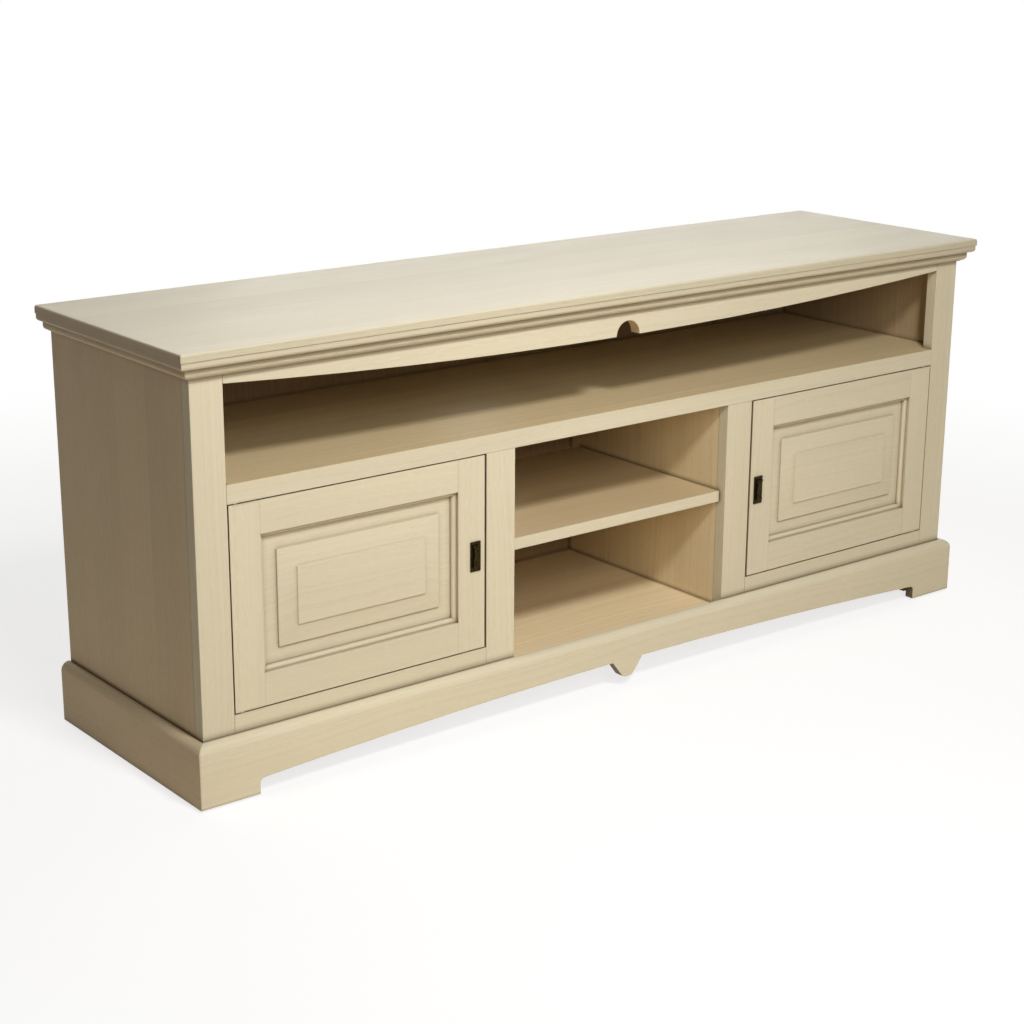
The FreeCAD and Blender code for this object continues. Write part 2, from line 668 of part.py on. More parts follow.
def hinge_screw(at_top, which, grow=0.0):
    """Screw that holds a frame plate of the left-hand door's hinges to its rail."""
    level = Z_DOOR_OPENING_HIGH if at_top else Z_DOOR_OPENING_LOW
    head = hinge_axis(level) + ALONG_X * (HINGE_SCREW_FIRST + which * HINGE_SCREW_PITCH)
    return screw(head, UP if at_top else DOWN, HINGE_SCREW_LENGTH, grow)


def door_hinge_screw(at_top, which, grow=0.0):
    """Screw that holds a hinge plate to the end of the left-hand door."""
    level = Z_DOOR_HIGH if at_top else Z_DOOR_LOW
    head = hinge_axis(level) + ALONG_X * (HINGE_SCREW_FIRST + which * HINGE_SCREW_PITCH)
    return screw(head, DOWN if at_top else UP, HINGE_SCREW_LENGTH, grow)


def frame_hinge_plate(at_top):
    """Frame plate with the boss that carries the door and the pin that it turns on."""
    level = Z_DOOR_OPENING_HIGH if at_top else Z_DOOR_OPENING_LOW
    inward = DOWN if at_top else UP
    boss = rod(hinge_axis(level), inward, DOOR_GAP - HINGE_BOSS_PLAY, HINGE_BOSS_RADIUS)
    pin = rod(hinge_axis(level), inward, DOOR_GAP + HINGE_PIN_REACH, HINGE_PIN_RADIUS)
    holes = [hinge_screw(at_top, which, HELD_CLEARANCE) for which in (0, 1)]
    return hinge_mortise(at_top).fuse([boss, pin]).removeSplitter().cut(holes)


def door_hinge_plate(at_top):
    """Door plate with the bore that the frame's pin turns in."""
    low = Z_DOOR_HIGH - HINGE_PLATE_THICKNESS if at_top else Z_DOOR_LOW
    bore = rod(hinge_axis(low), UP, HINGE_PLATE_THICKNESS, HINGE_PIN_RADIUS + TURNING_CLEARANCE)
    holes = [door_hinge_screw(at_top, which, HELD_CLEARANCE) for which in (0, 1)]
    return hinge_plate_block(low).cut([bore] + holes)


def door_hinge_sinking(at_top):
    """What an end of the door's hinge stile loses to a plate, its screws and the end of the pin."""
    low = Z_DOOR_HIGH - HINGE_PLATE_THICKNESS if at_top else Z_DOOR_LOW
    start = hinge_axis(Z_DOOR_HIGH if at_top else Z_DOOR_LOW)
    inward = DOWN if at_top else UP
    pin_room = rod(start, inward, HINGE_PIN_REACH + HINGE_PIN_ROOM, HINGE_PIN_RADIUS + HINGE_PIN_ROOM)
    holes = [door_hinge_screw(at_top, which, HELD_CLEARANCE) for which in (0, 1)]
    return [hinge_plate_block(low), pin_room] + holes


def build_hinges():
    """Frame plates and their screws for both doors, and the door plates and screws of each."""
    plates = [frame_hinge_plate(True), frame_hinge_plate(False)]
    screws = [hinge_screw(at_top, which) for at_top in (True, False) for which in (0, 1)]
    parts["frame_hinge_plates"] = Part.makeCompound(plates + [mirrored(plate) for plate in plates])
    parts["frame_hinge_screws"] = Part.makeCompound(screws + [mirrored(one) for one in screws])
    add_door_pair("hinge_plates", Part.makeCompound([door_hinge_plate(True), door_hinge_plate(False)]))
    door_screws = [door_hinge_screw(at_top, which) for at_top in (True, False) for which in (0, 1)]
    add_door_pair("hinge_screws", Part.makeCompound(door_screws))


def pull_centre():
    """Middle of the left-hand pull's plate, on the door's face."""
    return Vector(X_DOOR_LOCK - PULL_INSET, Y_FACE, Z_DOOR_LOW + PULL_RISE)


def pull_pin_centre():
    """Middle of the pin that the left-hand pull's tongue hangs from."""
    rise = PULL_HEIGHT / 2 - PULL_PIN_DROP
    return pull_centre() + FORWARD * (PULL_THICKNESS + EYE_STANDOFF + EYE_RADIUS) + UP * rise


def pull_bolt(grow=0.0):
    """Bolt from the back of the door into the boss of the pull's plate; grow gives its hole."""
    back = Vector(pull_centre().x, Y_DOOR_BACK, pull_centre().z)
    length = DOOR_THICKNESS - PULL_BOSS_DEPTH + PULL_BOLT_SEAT
    shank = rod(back, FORWARD, length + grow, PULL_BOLT_RADIUS + grow)
    head = rod(back, ALONG_Y, PULL_BOLT_HEAD_HEIGHT, PULL_BOLT_HEAD_RADIUS)
    return shank.fuse(head).removeSplitter()


def pull_pin_half():
    """Half the length of the pull's pin, out to the outer faces of the ears."""
    return EYE_LENGTH / 2 + EAR_PLAY + EAR_WIDTH


def pull_pin(grow=0.0):
    """Pin across the two ears of the left-hand pull; grow gives its hole."""
    start = pull_pin_centre() - ALONG_X * pull_pin_half()
    return rod(start, ALONG_X, 2 * pull_pin_half(), PULL_PIN_RADIUS + grow)


def pull_plate():
    """Plate of the pull: two ears in front, and a threaded boss let into the door behind."""
    centre = pull_centre()
    pin = pull_pin_centre()
    plate = block(
        (centre.x - PULL_WIDTH / 2, centre.x + PULL_WIDTH / 2),
        (Y_FACE - PULL_THICKNESS, Y_FACE),
        (centre.z - PULL_HEIGHT / 2, centre.z + PULL_HEIGHT / 2),
    )
    solids = [rod(centre, ALONG_Y, PULL_BOSS_DEPTH, PULL_BOSS_RADIUS)]
    for start in (-pull_pin_half(), EYE_LENGTH / 2 + EAR_PLAY):
        x_low = pin.x + start
        web = block((x_low, x_low + EAR_WIDTH), (pin.y, Y_FACE), (pin.z - EAR_RADIUS, pin.z + EAR_RADIUS))
        cheek = rod(Vector(x_low, pin.y, pin.z), ALONG_X, EAR_WIDTH, EAR_RADIUS)
        solids.append(web.fuse(cheek))
    return plate.fuse(solids).removeSplitter().cut([pull_pin(HELD_CLEARANCE), pull_bolt(HELD_CLEARANCE)])


def pull_tongue():
    """Tongue that hangs from the pin: an eye, a blade that widens downwards, and a rounded lip."""
    pin = pull_pin_centre()
    tip = pin.z - TONGUE_LENGTH
    neck = pin.z - TONGUE_NECK
    back = pin.y + TONGUE_THICKNESS / 2
    eye = rod(pin - ALONG_X * EYE_LENGTH / 2, ALONG_X, EYE_LENGTH, EYE_RADIUS)
    blade = face_inside(
        Vector(pin.x - EYE_LENGTH / 2, back, pin.z),
        Vector(pin.x - EYE_LENGTH / 2, back, neck),
        Vector(pin.x - TONGUE_TIP_WIDTH / 2, back, tip),
        Vector(pin.x + TONGUE_TIP_WIDTH / 2, back, tip),
        Vector(pin.x + EYE_LENGTH / 2, back, neck),
        Vector(pin.x + EYE_LENGTH / 2, back, pin.z),
    ).extrude(FORWARD * TONGUE_THICKNESS)
    lip = rod(Vector(pin.x - TONGUE_TIP_WIDTH / 2, pin.y, tip), ALONG_X, TONGUE_TIP_WIDTH, TONGUE_LIP_RADIUS)
    return eye.fuse([blade, lip]).removeSplitter().cut(pull_pin(TURNING_CLEARANCE))


def build_doors():
    """Frames, panels, pulls, strike plates and catches of both doors."""
    hinge_stile, lock_stile, top_rail, bottom_rail = door_members()
    centre = pull_centre()
    boss_room = rod(centre, ALONG_Y, PULL_BOSS_DEPTH + HELD_CLEARANCE, PULL_BOSS_RADIUS + HELD_CLEARANCE)
    add_door_pair("hinge_stile", hinge_stile.cut(door_hinge_sinking(True) + door_hinge_sinking(False)))
    add_door_pair("lock_stile", lock_stile.cut([boss_room, pull_bolt(HELD_CLEARANCE)]))
    add_door_pair("top_rail", top_rail.cut(door_hinge_sinking(True)))
    add_door_pair("bottom_rail", bottom_rail.cut(door_hinge_sinking(False)))
    add_door_pair("panel", door_panel())
    add_door_pair("pull_plate", pull_plate())
    add_door_pair("pull_pin", pull_pin())
    add_door_pair("pull_bolt", pull_bolt())
    add_pair("pull_tongue", pull_tongue())
    catch_high = X_DOOR_LOCK - CATCH_INSET
    catch_across = (catch_high - CATCH_WIDTH, catch_high)
    strike_top = Z_DOOR_HIGH - STRIKE_MARGIN
    strike_front = Y_DOOR_BACK + STRIKE_THICKNESS
    strike = block(catch_across, (Y_DOOR_BACK, strike_front), (strike_top - STRIKE_HEIGHT, strike_top))
    add_door_pair("strike_plate", strike)
    catch_front = strike_front + CATCH_PLAY
    catch = block(
        catch_across,
        (catch_front, catch_front + CATCH_DEPTH),
        (Z_UPPER_SHELF_UNDER - CATCH_HEIGHT, Z_UPPER_SHELF_UNDER),
    )
    parts["door_catches"] = Part.makeCompound([catch, mirrored(catch)])


def main():
    build_top()
    build_face_frame()
    build_carcass()
    build_shelf()
    build_plinth()
    build_hinges()
    build_doors()
    os.makedirs("parts", exist_ok=True)
    for name, shape in parts.items():
        shape.exportStep("parts/" + name + ".step")


main()
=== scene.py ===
"""Looks of the tv cabinet: limed oak boards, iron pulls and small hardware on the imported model."""
import math
import random

import bpy
from mathutils import Matrix, Vector


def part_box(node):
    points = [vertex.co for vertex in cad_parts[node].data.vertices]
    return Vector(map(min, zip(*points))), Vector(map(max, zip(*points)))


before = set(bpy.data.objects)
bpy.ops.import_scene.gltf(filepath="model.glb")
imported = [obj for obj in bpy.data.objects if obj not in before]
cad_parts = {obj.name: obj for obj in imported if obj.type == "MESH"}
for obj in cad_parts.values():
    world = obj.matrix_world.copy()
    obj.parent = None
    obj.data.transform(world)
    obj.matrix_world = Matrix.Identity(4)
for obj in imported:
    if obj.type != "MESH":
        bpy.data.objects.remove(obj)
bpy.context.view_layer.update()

MM = 0.001
SIDES = ("left", "right")
X, Y, Z = range(3)

# Camera: place in metres, angles in degrees, focal length in pixels of the square image
CAMERA_PLACE = Vector((-2.199, -2.6685, 1.304))
CAMERA_YAW = 38.42
CAMERA_PITCH = 16.79
CAMERA_ROLL = 0.34
FOCAL_PIXELS = 2032
IMAGE_PIXELS = 1024
SENSOR_WIDTH = 36

# Lamps: place and aim in metres, width and height in metres, power in watts, spread in degrees, colour
LAMPS = {
    "key": ((-0.55, -1.95, 2.36), (-0.15, -0.2, 0.35), (0.34, 0.34), 20.3, 120, (1.0, 0.985, 0.97)),
    "front_fill": ((-1.05, -3.3, 2.1), (-0.1, -0.2, 0.35), (1.4, 1.2), 42, 180, (1.0, 0.98, 0.955)),
    "rear_fill": ((2.6, 3.2, 1.6), (0.2, 0.0, 0.5), (2.6, 1.6), 33, 180, (1.0, 0.97, 0.93)),
    "right_fill": ((3.2, 0.9, 0.7), (0.85, 0.0, 0.35), (1.6, 0.8), 16, 180, (1.0, 0.98, 0.95)),
    "back_fill": ((0.5, 3.6, 0.6), (0.0, 0.2, 0.33), (2.4, 0.8), 30, 180, (1.0, 0.97, 0.93)),
}
WORLD_COLOUR = (1.0, 0.88, 0.76)
WORLD_STRENGTH = 0.05
WHITE_STRENGTH = 1.0

# Floor: how much the lamps and its own white add where it is seen, the colour of its bounce, half its width,
# and the distances between which it fades to plain white, in metres
FLOOR_LIT = 0.30
FLOOR_GLOW = 0.76
FLOOR_BOUNCE = (0.90, 0.77, 0.61)
FLOOR_HALF = 30
FADE_START = 1.3
FADE_END = 2.6

# Colours of limed oak, each a pair for late and early growth: front, top (lighter: painted light), sides
# (browner: painted shade), ends of the top (darker: painted shade), and front cornice (darker: painted shade)
LIMED = ((0.65, 0.593, 0.43), (0.695, 0.638, 0.472))
LIT_TOP_LIMED = ((0.715, 0.652, 0.475), (0.76, 0.697, 0.515))
SHADED_SIDE_LIMED = ((0.63, 0.515, 0.325), (0.675, 0.56, 0.365))
SHADED_END_LIMED = ((0.47, 0.375, 0.23), (0.51, 0.41, 0.26))
SHADED_CORNICE_LIMED = ((0.545, 0.485, 0.335), (0.585, 0.525, 0.37))

# Colours of oak without white pores: nose of the top (darker: painted shade), inner boards, centre bay
# (lighter: painted light), centre shelf, inner face of the sides, back (dark brown plywood, made darker as
# painted shade), and the plinth's faces under its arch (near black: painted shade)
SHADED_NOSE = ((0.575, 0.52, 0.375), (0.62, 0.565, 0.415))
INNER = ((0.605, 0.482, 0.283), (0.66, 0.537, 0.323))
LIT_BAY = ((0.80, 0.655, 0.412), (0.85, 0.708, 0.458))
SHELF = ((0.58, 0.452, 0.268), (0.63, 0.50, 0.30))
LINING = ((0.42, 0.31, 0.185), (0.47, 0.355, 0.215))
BACK = ((0.40, 0.28, 0.165), (0.46, 0.33, 0.20))
PLINTH_SHADE = ((0.12, 0.085, 0.045), (0.17, 0.12, 0.07))

# Lime and brown in the pores, with their share, the share of late growth in the fibres, painted shade in
# recesses, and worn edges
LIME_WHITE = (0.84, 0.81, 0.72)
LIME_IN_PORES = 0.4
PORE_BROWN = (0.33, 0.23, 0.12)
BROWN_IN_PORES = 0.25
LATE_IN_FIBRES = 0.22
PAINTED_SHADE_BROWN = (0.20, 0.135, 0.065)
WORN_OAK = (0.46, 0.395, 0.245)

# Darkest and lightest share of the colour, by stave and by broad patch, and the patches' range
STAVE_TONES = (0.965, 1.025)
PATCH_TONES = (0.95, 1.04)
PATCH_RANGE = (0.3, 0.7)

# Painted shade in recesses: the open air round a point at which it is full and at which there is none, and
# its most
AIR_RANGE = (0.42, 0.95)
PAINTED_SHADE_MOST = 0.92
AIR_SAMPLES = 6

# Wear: how far it reaches from an edge, the room inside the wood at which there is none and most of it,
# the patches between which it grows, and its least and most
WEAR_REACH = 2.5 * MM
EDGE_RANGE = (0.92, 0.45)
WEAR_PATCHES = (0.38, 0.66)
WEAR = (0.08, 0.45)

# How far the painted shade reaches out of a recess, by board: the first is for those without a reach of their
# own
PAINTED_SHADE_REACH = 9 * MM
BOARD_SHADE_REACH = 13 * MM
CORNICE_SHADE_REACH = 20 * MM
TOP_SHADE_REACH = 1.5 * MM

# Surface of the wood: roughness, bump, and gloss of boards and of the top
WOOD_ROUGHNESS = (0.42, 0.55)
WOOD_BUMP = 0.35
WOOD_DEPTH = 0.3 * MM
BOARD_GLOSS = 0.22
TOP_GLOSS = 0.3

# Figure of the oak: lumps per metre along the grain and across it, how far the rings wander in metres, and
# the parts of each noise that are used
NOISE_MIDDLE = 0.5
WANDER_STRETCH = (1.6, 5.0, 5.0)
WANDER = 0.03
RING_SCALE = 190.0
RING_RANGE = (0.3, 0.7)
FIBRE_STRETCH = (8.0, 420.0, 420.0)
FIBRE_RANGE = (0.35, 0.68)
FIBRE_HEIGHT = 0.35
PORE_STRETCH = (55.0, 1150.0, 1150.0)
PORE_RANGE = (0.58, 0.68)
PORES_BY_RING = (0.75, 0.25)
PATCH_STRETCH = (1.3, 6.0, 6.0)
FIGURE_PARTS = ("Ring", "Fibre", "Pore", "Patch", "Height")

# Sawing, in metres: where a board lies along its log and off its heart. For staves: the range of a board's
# seed, how they are scattered in their logs, and their least distance from the heart
SAWING = random.Random(11)
LOG_LENGTH = 40.0
HEART_ACROSS = (0.08, 0.2)
HEART_DEEP = (0.10, 0.25)
STAVE_SEEDS = (10, 90)
STAVE_SCATTER = (LOG_LENGTH, 0.30, 0.16)
STAVE_HEART = (0.0, 0.03, 0.05)

# Turns that lay each grain direction along X. The other two axes of the turned frame are then:
# grain X: Y and Z; grain Y: X and Z; grain Z: Y and X
GRAIN_TURN = {
    "X": (0, 0, 0),
    "Y": (0, 0, math.radians(90)),
    "Z": (0, math.radians(90), 0),
}

# Broad boards glued up from staves side by side, or faced with leaves of veneer: the axis across them in
# the turned frame, and their width
STAVES = (Y, 95 * MM)
LEAVES = (Z, 320 * MM)

# Metal and plastic: the parts of the noises used for colour and roughness, how much finer the second noise of
# metal is and its share in the bumps, the plastic's roughness, and the strength and depth of the bumps
MOTTLE_RANGE = (0.35, 0.65)
FINE_RANGE = (0.3, 0.7)
FINER = 6
FINE_SHARE = 0.3
METAL_BUMP = 0.5
PLASTIC_ROUGHNESS = (0.38, 0.55)
PLASTIC_BUMP = 0.3
PLASTIC_DEPTH = 0.05 * MM

# Edges: how close points are joined, the turns in degrees below which faces are one and above which an
# edge is sharp, and the widths by which edges are eased
JOIN_DISTANCE = 0.002 * MM
FLAT_ANGLE = 0.1
SHARP_ANGLE = 35
EASE_SEGMENTS = 2
BOARD_EASE = 0.9 * MM
PANEL_EASE = 1.7 * MM
INNER_EASE = 0.6 * MM
METAL_EASE = 0.25 * MM

# Limed boards by the direction of their grain, the doors' boards likewise, and inner boards
LIMED_BOARDS = {
    "X": ["cornice_front", "lower_rail_left", "lower_rail_right", "lower_rail_centre"],
    "Y": ["cornice_left", "cornice_right", "plinth_left", "plinth_right"],
    "Z": ["stile_left", "stile_right", "centre_stile_left", "centre_stile_right"],
}
DOOR_BOARDS = {
    "X": ["top_rail", "bottom_rail", "panel"],
    "Z": ["hinge_stile", "lock_stile"],
}
INNER_BOARDS = {"X": ["plinth_rear_rail"], "Y": ["top_cleats"], "Z": ["corner_blocks"]}
BAY_BOARDS = {"bottom_panel": "X", "partition_left": "Z", "partition_right": "Z"}
for grain, members in DOOR_BOARDS.items():
    LIMED_BOARDS[grain] += [f"door_{side}_{member}" for side in SIDES for member in members]

# Where the lime ends on boards limed in part: places in metres, and how far a face has to look along an axis
PANEL_MIDDLE = 815 * MM
SHELF_NOSE = -188.5 * MM
RAIL_TOP = 490.4 * MM
RAIL_FRONT = -201.4 * MM
ARCH_TOP = 80 * MM
FACING = 0.6

# Faces by their place or direction: kind of coordinate, axis, side and limit
# Upward faces of the top get painted light, its ends painted shade
TOP_FACE = [("Normal", Z, "GREATER_THAN", FACING)]
TOP_ENDS = [("Normal", X, "LESS_THAN", -FACING), ("Normal", X, "GREATER_THAN", FACING)]
# Plinth faces above the arch or facing front; the faces under the arch get near-black painted shade
PLINTH_FACE = [("Object", Z, "GREATER_THAN", ARCH_TOP), ("Normal", Y, "LESS_THAN", -FACING)]

# Boards with lime on a part of their faces: grain, staves, colours without lime, the faces with it, and
# its colours
PART_LIMED = {
    # Side panels: outer faces in the browner lime, which is painted shade
    "side_panel_left": ("Z", STAVES, LINING, [("Object", X, "LESS_THAN", -PANEL_MIDDLE)], SHADED_SIDE_LIMED),
    "side_panel_right": ("Z", STAVES, LINING, [("Object", X, "GREATER_THAN", PANEL_MIDDLE)], SHADED_SIDE_LIMED),
    "centre_shelf": ("X", STAVES, SHELF, [("Object", Y, "LESS_THAN", SHELF_NOSE)], LIMED),
    "middle_rail": ("X", None, INNER, [("Object", Z, "LESS_THAN", RAIL_TOP)], LIMED),
    "top_rail": ("X", None, INNER, [("Object", Y, "LESS_THAN", RAIL_FRONT)], LIMED),
    # Plinth: near-black painted shade on the arch's underside and the feet's inner faces
    "plinth_front": ("X", None, PLINTH_SHADE, PLINTH_FACE, LIMED),
}

# Hardware. Metals: two colours, lumps per metre, roughness, depth. Plastic: two colours, lumps per metre
BLACK_IRON = (((0.020, 0.013, 0.004), (0.050, 0.034, 0.012)), 220, (0.38, 0.60), 0.25 * MM)
ZINC_STEEL = (((0.50, 0.50, 0.49), (0.66, 0.66, 0.64)), 150, (0.28, 0.42), 0.03 * MM)
DARK_PLASTIC = (((0.016, 0.013, 0.011), (0.028, 0.023, 0.019)), 2500)
ZINC_NODES = ["back_screws", "frame_hinge_plates", "frame_hinge_screws", "shelf_pins", "top_screws"]
DOOR_ZINC = ("hinge_plates", "hinge_screws", "strike_plate", "pull_bolt")
PLASTIC_NODES = ["door_catches", "foot_glides"]


def new_material(name):
    """A material with a Principled shader: returns the material, its node tree and the shader."""
    material = bpy.data.materials.new(name)
    material.use_nodes = True
    tree = material.node_tree
    return material, tree, tree.nodes["Principled BSDF"]


def add(tree, kind, inputs=None, **settings):
    """Adds a node, sets its properties, and links or sets its inputs by name or number."""
    node = tree.nodes.new(kind)
    for key, value in settings.items():
        setattr(node, key, value)
    for key, value in (inputs or {}).items():
        socket = node.inputs[key]
        if isinstance(value, bpy.types.NodeSocket):
            tree.links.new(value, socket)
        else:
            socket.default_value = value
    return node


def math_node(tree, operation, *values):
    """A Math node's result."""
    return add(tree, "ShaderNodeMath", dict(enumerate(values)), operation=operation).outputs[0]


def vector_node(tree, operation, *values):
    """A Vector Math node's vector."""
    return add(tree, "ShaderNodeVectorMath", dict(enumerate(values)), operation=operation).outputs[0]


def length_node(tree, vector):
    """The length of a vector."""
    return add(tree, "ShaderNodeVectorMath", {0: vector}, operation="LENGTH").outputs["Value"]


def span(tree, value, low, high, to_low=0.0, to_high=1.0):
    """The value carried from one range to another, kept inside it."""
    inputs = {"Value": value, "From Min": low, "From Max": high, "To Min": to_low, "To Max": to_high}
    return add(tree, "ShaderNodeMapRange", inputs).outputs["Result"]


def blend(tree, factor, first, second):
    """Two colours mixed by a factor."""
    node = add(tree, "ShaderNodeMix", data_type="RGBA")
    for socket, value in zip((node.inputs[0], node.inputs[6], node.inputs[7]), (factor, first, second)):
        if isinstance(value, bpy.types.NodeSocket):
            tree.links.new(value, socket)
        else:
            socket.default_value = (*value, 1.0)
    return node.outputs[2]


def scaled(tree, colour, factor):
    """A colour made lighter or darker by a factor."""
    inputs = {0: colour, "Scale": factor}
    return add(tree, "ShaderNodeVectorMath", inputs, operation="SCALE").outputs[0]


def noise(tree, vector, stretch, detail=2.0, roughness=0.5):
    """Noise with its own scale along each axis, in lumps per metre."""
    mapping = add(tree, "ShaderNodeMapping", {"Vector": vector, "Scale": stretch})
    inputs = {"Vector": mapping.outputs[0], "Scale": 1.0, "Detail": detail, "Roughness": roughness}
    return add(tree, "ShaderNodeTexNoise", inputs).outputs[0]


def point(tree, kind="Object"):
    """A point's place in the row frame, or with kind Normal the direction of its face."""
    return add(tree, "ShaderNodeTexCoord").outputs[kind]


def coordinate(tree, vector, axis):
    """A vector's coordinate on an axis."""
    return add(tree, "ShaderNodeSeparateXYZ", {0: vector}).outputs[axis]


def bump(tree, shader, height, strength, depth):
    """Gives a shader bumps of a height."""
    node = add(tree, "ShaderNodeBump", {"Height": height, "Strength": strength, "Distance": depth})
    tree.links.new(node.outputs[0], shader.inputs["Normal"])


def make_figure():
    """The figure of sawn oak with its grain along X: growth rings, fibres, pores and broad patches."""
    tree = bpy.data.node_groups.new("oak_figure", "ShaderNodeTree")
    tree.interface.new_socket("Vector", in_out="INPUT", socket_type="NodeSocketVector")
    for name in FIGURE_PARTS:
        tree.interface.new_socket(name, in_out="OUTPUT", socket_type="NodeSocketFloat")
    place = tree.nodes.new("NodeGroupInput").outputs["Vector"]
    end = tree.nodes.new("NodeGroupOutput")

    swing = math_node(tree, "SUBTRACT", noise(tree, place, WANDER_STRETCH, detail=1.0), NOISE_MIDDLE)
    wander = math_node(tree, "MULTIPLY", swing, WANDER)
    across = add(tree, "ShaderNodeMapping", {"Vector": place, "Scale": (0, 1, 1)}).outputs[0]
    radius = length_node(tree, vector_node(tree, "ADD", across, wander))
    ring_inputs = {"W": radius, "Scale": RING_SCALE, "Detail": 2.5, "Roughness": 0.6}
    rings = add(tree, "ShaderNodeTexNoise", ring_inputs, noise_dimensions="1D").outputs[0]
    ring = span(tree, rings, *RING_RANGE)

    fibre = span(tree, noise(tree, place, FIBRE_STRETCH, detail=3.0, roughness=0.6), *FIBRE_RANGE)
    pores = span(tree, noise(tree, place, PORE_STRETCH, detail=1.0), *PORE_RANGE)
    pore = math_node(tree, "MULTIPLY", pores, span(tree, ring, *PORES_BY_RING))
    patch = noise(tree, place, PATCH_STRETCH)
    height = math_node(tree, "SUBTRACT", math_node(tree, "MULTIPLY", fibre, FIBRE_HEIGHT), pore)
    for name, socket in zip(FIGURE_PARTS, (ring, fibre, pore, patch, height)):
        tree.links.new(socket, end.inputs[name])
    return tree


def sawn_place(tree, node, grain, stave):
    """Where in the log each point of a board lies, with X along the grain and the log's heart on that axis,
    and a tone for its stave. stave is (axis, width) for a board glued up from staves, else None."""
    low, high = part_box(node)
    centre = (Vector(low) + Vector(high)) / 2
    centred = vector_node(tree, "SUBTRACT", point(tree), tuple(centre))
    turn_inputs = {"Vector": centred, "Rotation": GRAIN_TURN[grain]}
    turned = add(tree, "ShaderNodeMapping", turn_inputs).outputs[0]
    heart = (SAWING.uniform(0, LOG_LENGTH), SAWING.uniform(*HEART_ACROSS), SAWING.uniform(*HEART_DEEP))
    if not stave:
        return vector_node(tree, "ADD", turned, heart), None
    axis, width = stave
    number = math_node(tree, "FLOOR", math_node(tree, "DIVIDE", coordinate(tree, turned, axis), width))
    seed = math_node(tree, "ADD", number, SAWING.uniform(*STAVE_SEEDS))
    chance = add(tree, "ShaderNodeTexWhiteNoise", {"W": seed}, noise_dimensions="1D").outputs
    scatter = vector_node(tree, "MULTIPLY", chance["Color"], STAVE_SCATTER)
    start = math_node(tree, "MULTIPLY", number, -width)
    axes = [start if index == axis else 0.0 for index in range(3)]
    back = add(tree, "ShaderNodeCombineXYZ", dict(enumerate(axes))).outputs[0]
    moved = vector_node(tree, "ADD", vector_node(tree, "ADD", turned, back), scatter)
    return vector_node(tree, "ADD", moved, STAVE_HEART), chance["Value"]


def wood_colour(tree, figure, growth, pore_colour, pore_share):
    """Oak in a pair of colours for late and early growth, with something in its pores."""
    wood = blend(tree, figure["Ring"], *growth)
    late = span(tree, figure["Fibre"], 0.0, 1.0, 0.0, LATE_IN_FIBRES)
    fibres = blend(tree, late, wood, growth[0])
    return blend(tree, math_node(tree, "MULTIPLY", figure["Pore"], pore_share), fibres, pore_colour)


def limed_colour(tree, figure, growth):
    """Pale oak with white lime rubbed into its pores."""
    return wood_colour(tree, figure, growth, LIME_WHITE, LIME_IN_PORES)


def plain_colour(tree, figure, growth):
    """Oak without lime, with brown pores."""
    return wood_colour(tree, figure, growth, PORE_BROWN, BROWN_IN_PORES)


def painted_shade_and_wear(tree, colour, figure, shade_reach):
    """Painted shade: brown darkening in the recesses, where shade falls. Also edges rubbed bare in patches.
    """
    air_inputs = {"Distance": shade_reach}
    open_air = add(tree, "ShaderNodeAmbientOcclusion", air_inputs, samples=AIR_SAMPLES).outputs["AO"]
    # Painted shade: brown where little open air reaches, in recesses and gaps between parts
    painted_shade = blend(tree, span(tree, open_air, *AIR_RANGE, PAINTED_SHADE_MOST, 0.0), colour, PAINTED_SHADE_BROWN)
    room = add(tree, "ShaderNodeAmbientOcclusion", {"Distance": WEAR_REACH}, samples=AIR_SAMPLES,
               inside=True, only_local=True).outputs["AO"]
    edge = span(tree, room, *EDGE_RANGE)
    broken = math_node(tree, "MULTIPLY", edge, span(tree, figure["Patch"], *WEAR_PATCHES, *WEAR))
    return blend(tree, broken, painted_shade, WORN_OAK)


def beyond(tree, kind, axis, side, limit):
    """1 where a point's place (kind Object) or its face's direction (kind Normal) is beyond a limit."""
    return math_node(tree, side, coordinate(tree, point(tree, kind), axis), limit)


def coated(tree, figure, colour, tests, growth):
    """A colour with a coat of limed oak over the faces for which any of the tests holds."""
    mask = beyond(tree, *tests[0])
    for test in tests[1:]:
        mask = math_node(tree, "MAXIMUM", mask, beyond(tree, *test))
    return blend(tree, mask, colour, limed_colour(tree, figure, growth))


def oak(name, node, grain, growth, limed=False, stave=None, coats=(), gloss=BOARD_GLOSS,
        shade_reach=PAINTED_SHADE_REACH):
    """Oak for one board, its grain along an axis of the row frame, in a pair of colours, limed or not. coats
    are pairs of tests and colours: lime over the faces for which a test holds, each over the one before."""
    material, tree, shader = new_material(name)
    place, tone = sawn_place(tree, node, grain, stave)
    figure = add(tree, "ShaderNodeGroup", {0: place}, node_tree=FIGURE).outputs

    colour = limed_colour(tree, figure, growth) if limed else plain_colour(tree, figure, growth)
    for tests, coat_growth in coats:
        colour = coated(tree, figure, colour, tests, coat_growth)
    if tone:
        colour = scaled(tree, colour, span(tree, tone, 0.0, 1.0, *STAVE_TONES))
    colour = scaled(tree, colour, span(tree, figure["Patch"], *PATCH_RANGE, *PATCH_TONES))
    # Painted shade in recesses and worn edges over the colour
    tree.links.new(painted_shade_and_wear(tree, colour, figure, shade_reach), shader.inputs["Base Color"])
    roughness = span(tree, figure["Fibre"], 0.0, 1.0, *WOOD_ROUGHNESS)
    tree.links.new(roughness, shader.inputs["Roughness"])
    bump(tree, shader, figure["Height"], WOOD_BUMP, WOOD_DEPTH)
    shader.inputs["Specular IOR Level"].default_value = gloss
    return material


